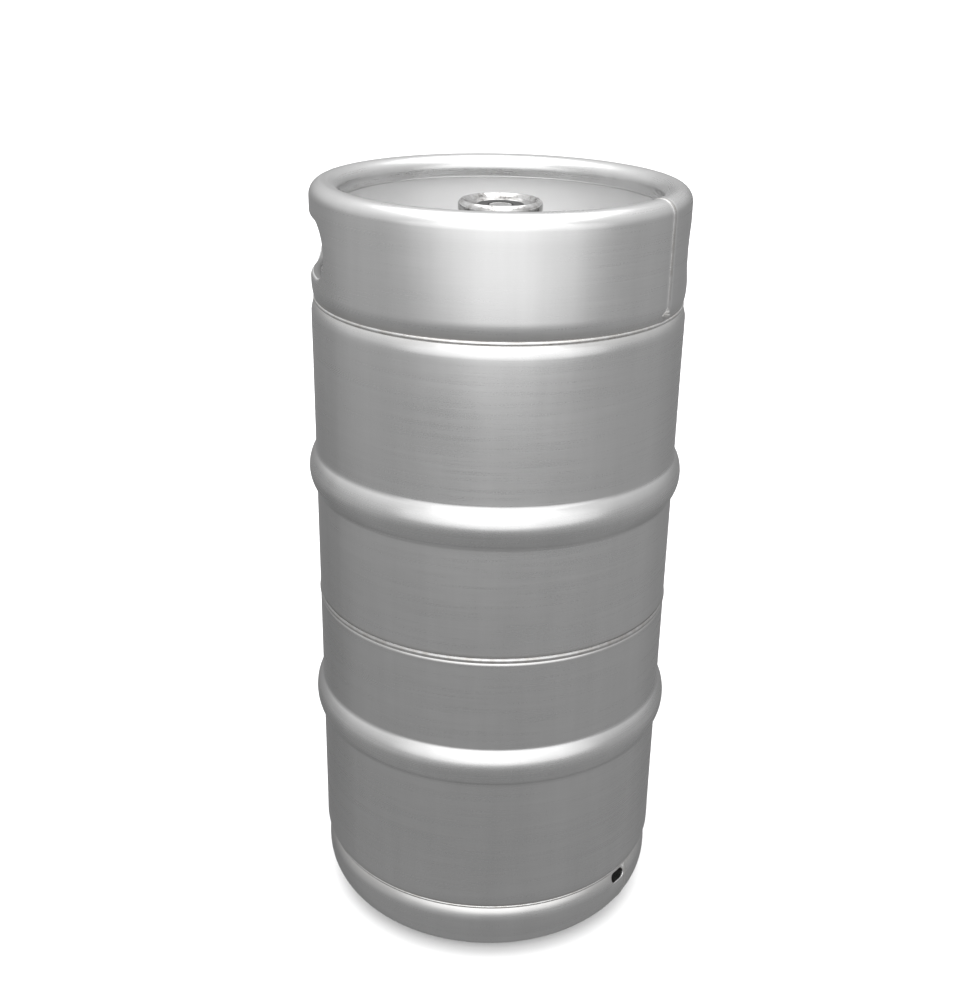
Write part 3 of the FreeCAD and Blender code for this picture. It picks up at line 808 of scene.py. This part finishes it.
def satin_steel(name, tone, heat_lines=()):
    """Brushed stainless. tone is its base colour's grey; heat_lines are heights where welding dulled it."""
    finish = Finish(name, 1.0, 0.3, (tone, tone, tone))
    z, radius = finish.axes()[2:]
    lines = finish.noise((14, 14, 2600), 4.0, 0.6)
    broad = finish.noise((9, 9, 260), 3.0, 0.55, 3.1)
    streaks = finish.noise((75, 75, 5), 3.0, 0.6, 7.7)
    blotches = finish.noise((11, 11, 9), 3.0, 0.55, 1.3)
    pits = finish.noise((900, 900, 900), 2.0, 0.5, 5.5)
    rubbed = radius.between(0.1405, 0.1436) * finish.noise((30, 30, 500), 3.0, 0.6, 9.9).between(0.3, 0.7)
    dull_inside_painted_bright, shaded_lip, pale_seam_band = bright_inside_shaded_lip_band(finish)
    brushed = 0.82 + 0.09 * lines + 0.06 * broad + 0.11 * streaks + 0.12 * blotches + 0.05 * rubbed
    # The lips' colour is darkened as painted shade, and the band beside the seam is made paler.
    shade = tone * (1 - 0.55 * shaded_lip + 0.20 * pale_seam_band) * brushed
    # Inside the collar the colour is painted paler, a painted brightness standing in for light in the recess.
    shade = shade * (1 - dull_inside_painted_bright) + dull_inside_painted_bright * (0.70 + 0.10 * blotches)
    colour = finish.make("ShaderNodeCombineColor", None, shade, shade, shade).outputs[0]
    for height in heat_lines:
        near = 1 - (z - height * MM).size().between(0.0015, 0.008)
        colour = finish.mix(near * (0.10 + 0.25 * broad), colour, grey(tone, 0.88, 0.85, 0.80))
    rough = 0.16 + 0.10 * lines + 0.07 * broad + 0.06 * blotches + 0.03 * pits
    rough = rough - 0.03 * rubbed + 0.25 * dull_inside_painted_bright + 0.15 * shaded_lip
    waves = finish.bump(finish.noise((7, 7, 9), 1.0, 0.4, 2.2), 0.0012)
    grain = finish.bump(lines, 0.000005, waves)
    return finish.set(Base_Color=colour, Roughness=rough, Normal=grain)


HEAT_LINES = (WELD_HEIGHT, COLLAR_FOOT, CHIME_TOP)

# %% [markdown]
# ## Welds, bright steel, rubber and plastic
# A brushed weld stays a little darker and warmer than the sheet. The spear is turned on a lathe and polished,
# rubber is dull with a fine moulded grain, and the bush inside is plain off-white plastic.

# %% Small finishes
def weld_steel():
    """Fine grain with uneven straw-coloured heat tint."""
    finish = Finish("weld_steel", 1.0, 0.3, (0.6, 0.6, 0.6))
    tint = finish.noise((160, 160, 160), 3.0, 0.6)
    grain = finish.noise((1500, 1500, 1500), 2.0, 0.5, 2.0)
    colour = finish.mix(tint.between(0.3, 0.75), grey(0.63), grey(0.50, 1.0, 0.97, 0.93))
    return finish.set(Base_Color=colour, Roughness=0.24 + 0.16 * grain, Normal=finish.bump(grain, 0.00003))


def bright_steel(name, tone, rough):
    """Turned steel: fine rings on top faces, dark dried stains and a dull film between them."""
    finish = Finish(name, 1.0, rough, (tone, tone, tone))
    z, radius = finish.axes()[2:]
    rings = (radius * 9000.0 + z * 7000.0).sine() * 0.5 + 0.5
    stains = finish.noise((120, 120, 120), 4.0, 0.65, 4.0)
    film = finish.mix(stains.between(0.3, 0.7), grey(tone), grey(tone * 0.62, 1.0, 0.98, 0.96))
    colour = finish.mix(stains.between(0.56, 0.66), film, grey(tone * 0.3, 1.0, 0.97, 0.94))
    roughness = rough + 0.05 * rings + 0.14 * stains
    return finish.set(Base_Color=colour, Roughness=roughness, Normal=finish.bump(rings, 0.000006))


def rubber():
    """Black rubber with a fine grain and a little dust."""
    finish = Finish("black_rubber", 0.0, 0.6, (0.02, 0.02, 0.02))
    grain = finish.noise((2200, 2200, 2200), 2.0, 0.5)
    dust = finish.noise((140, 140, 140), 3.0, 0.6, 6.0)
    colour = finish.mix(dust.between(0.45, 0.85), grey(0.016), grey(0.058))
    return finish.set(Base_Color=colour, Roughness=0.45 + 0.3 * dust, Normal=finish.bump(grain, 0.00004))


def white_plastic():
    """Off-white moulded plastic, slightly clouded."""
    finish = Finish("white_plastic", 0.0, 0.5, (0.8, 0.8, 0.78))
    cloud = finish.noise((200, 200, 200), 3.0, 0.5)
    colour = finish.mix(cloud, grey(0.82, 1.0, 1.0, 0.96), grey(0.72, 1.0, 0.99, 0.93))
    return finish.set(Base_Color=colour, Roughness=0.4 + 0.2 * cloud, Normal=finish.bump(cloud, 0.00005))


finishes = {
    "satin_steel": satin_steel("satin_steel", 0.58, HEAT_LINES), "weld_steel": weld_steel(),
    "bright_steel": bright_steel("bright_steel", 0.58, 0.10),
    "spring_steel": bright_steel("spring_steel", 0.5, 0.22),
    "black_rubber": rubber(), "white_plastic": white_plastic(),
}
print("finishes:", ", ".join(finishes))

# %% [markdown]
# ## Small turned pieces
# The neck, spear, seals and valve are small and already right in the CAD model. Each is copied, its loose
# triangles are joined, and edges sharper than thirty degrees are kept crisp while the rest is shaded smooth.
# For each of the two springs, the share of its length that is left when its valve is pressed is worked
# out, and the spring gets its own mesh.

# %% Smooth copies of the CAD pieces
SHARP = math.radians(30.0)


def smooth_copy(node_name, body):
    """A copy of a CAD piece with its triangles joined and its round faces shaded smooth."""
    source = frame["nodes"][node_name]
    mesh = bpy.data.meshes.new(node_name + "_smooth")
    made = bmesh.new()
    made.from_mesh(source.data)
    bmesh.ops.remove_doubles(made, verts=made.verts, dist=2e-6)
    for face in made.faces:
        face.smooth = True
    for edge in made.edges:
        edge.smooth = len(edge.link_faces) != 2 or edge.calc_face_angle(0.0) < SHARP
    made.to_mesh(mesh)
    made.free()
    piece = bpy.data.objects.new(node_name + "_smooth", mesh)
    scene.collection.objects.link(piece)
    return finish_piece(piece, body, slot_of[node_name], node_name)


slot_of = {part["node"]: part["material_slot"] for part in frame["record"]["subparts"]}
body_of_node = {n: b for b, nodes in frame["record"]["behaviour"]["bodies"].items() for n in nodes}
replaced = {n for piece in list(scene.objects) for n in piece.get("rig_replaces", [])}
copied = sorted(set(slot_of) - replaced)
copies = {node_name: smooth_copy(node_name, body_of_node[node_name]) for node_name in copied}


def shorten_spring(node_name, joint_name):
    """Works out the share of a spring's length left after its joint's whole travel, and gives the copy its
    own mesh.
    """
    low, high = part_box(node_name)
    joint = next(j for j in frame["joints"] if j["name"] == joint_name)
    travel = max(abs(limit) for limit in joint["range_m"])
    keep = 1 - travel / (high[2] - low[2])
    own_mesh(copies[node_name])
    print(node_name, "keeps", round(keep, 3), "of its length at the end of", joint_name)


shorten_spring("gas_spring", "gas_valve_press")
shorten_spring("beer_spring", "beer_valve_press")

for piece in list(scene.objects):
    if piece.type == "MESH" and "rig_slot" in piece:
        piece.data.materials.clear()
        piece.data.materials.append(finishes[piece["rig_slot"]])

# %% [markdown]
# ## Floor and light
# Satin steel shows its surroundings more than itself, so the light is part of its look. Panels overhead and
# high in front brighten every face that leans upwards, and three tall panels of different widths in front
# give the upright walls one broad highlight that fades to both sides. The surroundings shade from grey below
# to pale above. The floor is left out of reflections, where its white would flatten the shape, and one more
# panel only lights the wall behind.

# %% Floor, lights and world
FLOOR_FRONT, FLOOR_BACK = -6.0, 3.0
FLOOR_HALF_WIDTH = 8.0
BACKDROP_BEND = 2.0
BACKDROP_TOP = 6.0
PANEL_HEIGHT = 0.99
PANEL_TALL = 1.9


def area_light(name, place, target, size, power):
    """A soft panel at a place, facing a target."""
    lamp = bpy.data.lights.new(name, "AREA")
    lamp.shape = "RECTANGLE"
    lamp.size, lamp.size_y = size
    lamp.energy = power
    panel = bpy.data.objects.new(name, lamp)
    panel.location = place
    panel.rotation_mode = "QUATERNION"
    panel.rotation_quaternion = (Vector(target) - Vector(place)).to_track_quat("-Z", "Y")
    scene.collection.objects.link(panel)
    return panel


def front_panel(name, x, away, width, power):
    """A tall soft panel in front of the keg, as seen in the walls: hidden from the camera."""
    panel = area_light(name, (x, -away, PANEL_HEIGHT), (x, 0, PANEL_HEIGHT), (width, PANEL_TALL), power)
    panel.visible_camera = False
    return panel


def floor_and_backdrop():
    """A floor that curves up into a wall far behind: an outline swept across in X."""
    wall = FLOOR_BACK + BACKDROP_BEND
    outline = joined(
        run((FLOOR_FRONT, 0.0), (FLOOR_BACK, 0.0), 10),
        arc((FLOOR_BACK, BACKDROP_BEND), BACKDROP_BEND, -90, 0, 16),
        run((wall, BACKDROP_BEND), (wall, BACKDROP_TOP), 4),
    )
    y, z = np.repeat(outline[:, :1], 2, 1), np.repeat(outline[:, 1:], 2, 1)
    x = np.repeat([[-FLOOR_HALF_WIDTH, FLOOR_HALF_WIDTH]], len(outline), 0)
    points = np.stack([x, y, z], -1)
    index = np.arange(len(outline) * 2).reshape(-1, 2)
    quads = np.stack([index[:-1, 0], index[:-1, 1], index[1:, 1], index[1:, 0]], 1)
    piece = add_mesh("floor", points.reshape(-1, 3) / MM, quads)
    finish = Finish("floor", 0.0, 0.8, (0.9, 0.9, 0.9))
    cloud = finish.noise((1.5, 1.5, 1.5), 2.0, 0.5)
    pale = finish.mix(cloud, grey(0.90), grey(0.93))
    piece.data.materials.append(finish.set(Base_Color=pale, Roughness=0.7 + 0.2 * cloud))
    return piece


def studio_world():
    """Surroundings that brighten from a grey floor to a pale ceiling, and are dimmer behind than in front."""
    world = bpy.data.worlds.new("studio")
    world.use_nodes = True
    network = Network(world.node_tree)
    direction = network.make("ShaderNodeTexCoord").outputs["Generated"]
    parts = network.make("ShaderNodeSeparateXYZ", None, direction).outputs
    side, back, up = [Value(network, part) for part in parts]
    level = 0.355 + 0.08 * up.between(-0.6, -0.1) + 0.22 * up.between(-0.12, 0.25)
    level = level + 0.45 * up.between(0.2, 0.9)
    dim = 1 - 0.35 * back.between(0.1, 0.8) * (1 - up.between(0.0, 0.35))
    left = 0.35 * (-1 * side).between(-0.1, 0.9) * up.between(-0.45, -0.2)
    right = 0.14 * side.between(0.0, 0.6) * up.between(-0.7, -0.3)
    network.feed(world.node_tree.nodes["Background"].inputs["Strength"], level * dim * (1 + left + right))
    network.feed(world.node_tree.nodes["Background"].inputs["Color"], grey(1.0))
    return world


floor = floor_and_backdrop()
floor.visible_glossy = False
area_light("overhead", (0.0, -0.1, 2.4), (0, 0, 0.3), (2.6, 2.2), 38)
area_light("front_high", (-0.2, -1.9, 2.1), (0, 0, 0.5), (2.4, 1.0), 15)
front_panel("front_window", -0.12, 1.6, 1.2, 2.1)
front_panel("front_screen", 0.0, 1.75, 3.2, 7.4)
front_panel("front_wall", -0.25, 1.9, 6.6, 21.2)
wash = area_light("backdrop_wash", (0.0, 1.2, 2.6), (0, 5.0, 1.6), (5.0, 1.5), 120)
wash.visible_glossy = False
wash.visible_camera = False
scene.world = studio_world()
scene.view_settings.view_transform = "Standard"
scene.view_settings.look = "None"
